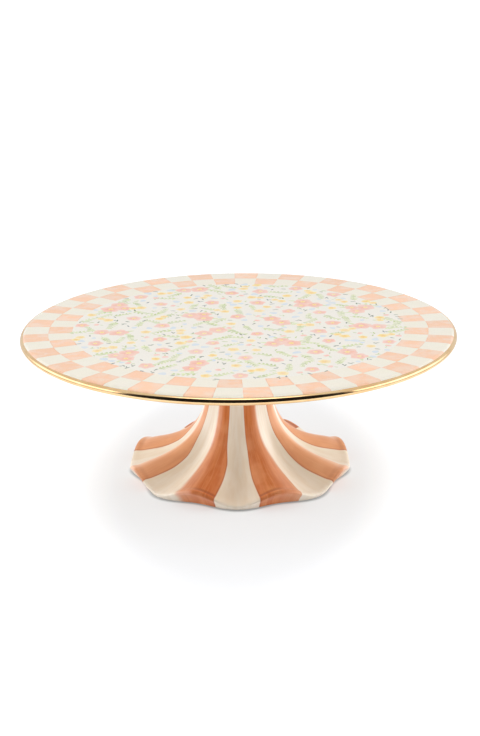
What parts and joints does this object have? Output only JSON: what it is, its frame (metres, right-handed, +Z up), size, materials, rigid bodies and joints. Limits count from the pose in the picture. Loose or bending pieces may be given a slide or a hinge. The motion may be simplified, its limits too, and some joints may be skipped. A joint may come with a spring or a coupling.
{
  "type": "pedestal cake stand",
  "caption": "Round enamelled steel platter with a gold metal rim, bolted to a hollow fluted ceramic pedestal foot that rests on thin pads.",
  "frame": {"origin": "centre of the circle of foot pads, on the plane the stand rests on", "axes": "+Z up through the pedestal's axis, -Y to the front, where one of the foot's troughs points"},
  "size_m": [0.4064, 0.4064, 0.142],
  "materials": {
    "enamel_face": "glossy vitreous enamel, off-white with a small floral print and a two-row peach check border",
    "platter_blank": "bare pressed steel, hidden between the enamel coats",
    "enamel_back": "glossy cream vitreous enamel, plain",
    "rim_band": "polished gold finish",
    "stud_plate": "bare steel",
    "stud": "zinc plated",
    "gasket": "pale silicone",
    "pedestal": "glossy glaze, burnt-orange ridges and cream troughs",
    "cushion_washer": "matt black",
    "clamp_washer": "zinc plated",
    "spring_washer": "zinc plated",
    "clamp_nut": "zinc plated",
    "foot_pad": "frosted clear"
  },
  "bodies": {
    "root": {"enamel_face": "enamel_face", "platter_blank": "platter_blank", "enamel_back": "enamel_back", "rim_band": "rim_band", "stud_plate": "stud_plate", "stud": "stud", "gasket": "gasket", "pedestal": "pedestal", "cushion_washer": "cushion_washer", "clamp_washer": "clamp_washer", "spring_washer": "spring_washer", "clamp_nut": "clamp_nut", "foot_pad_1": "foot_pad", "foot_pad_2": "foot_pad", "foot_pad_3": "foot_pad", "foot_pad_4": "foot_pad", "foot_pad_5": "foot_pad", "foot_pad_6": "foot_pad", "foot_pad_7": "foot_pad", "foot_pad_8": "foot_pad"}
  },
  "joints": []
}
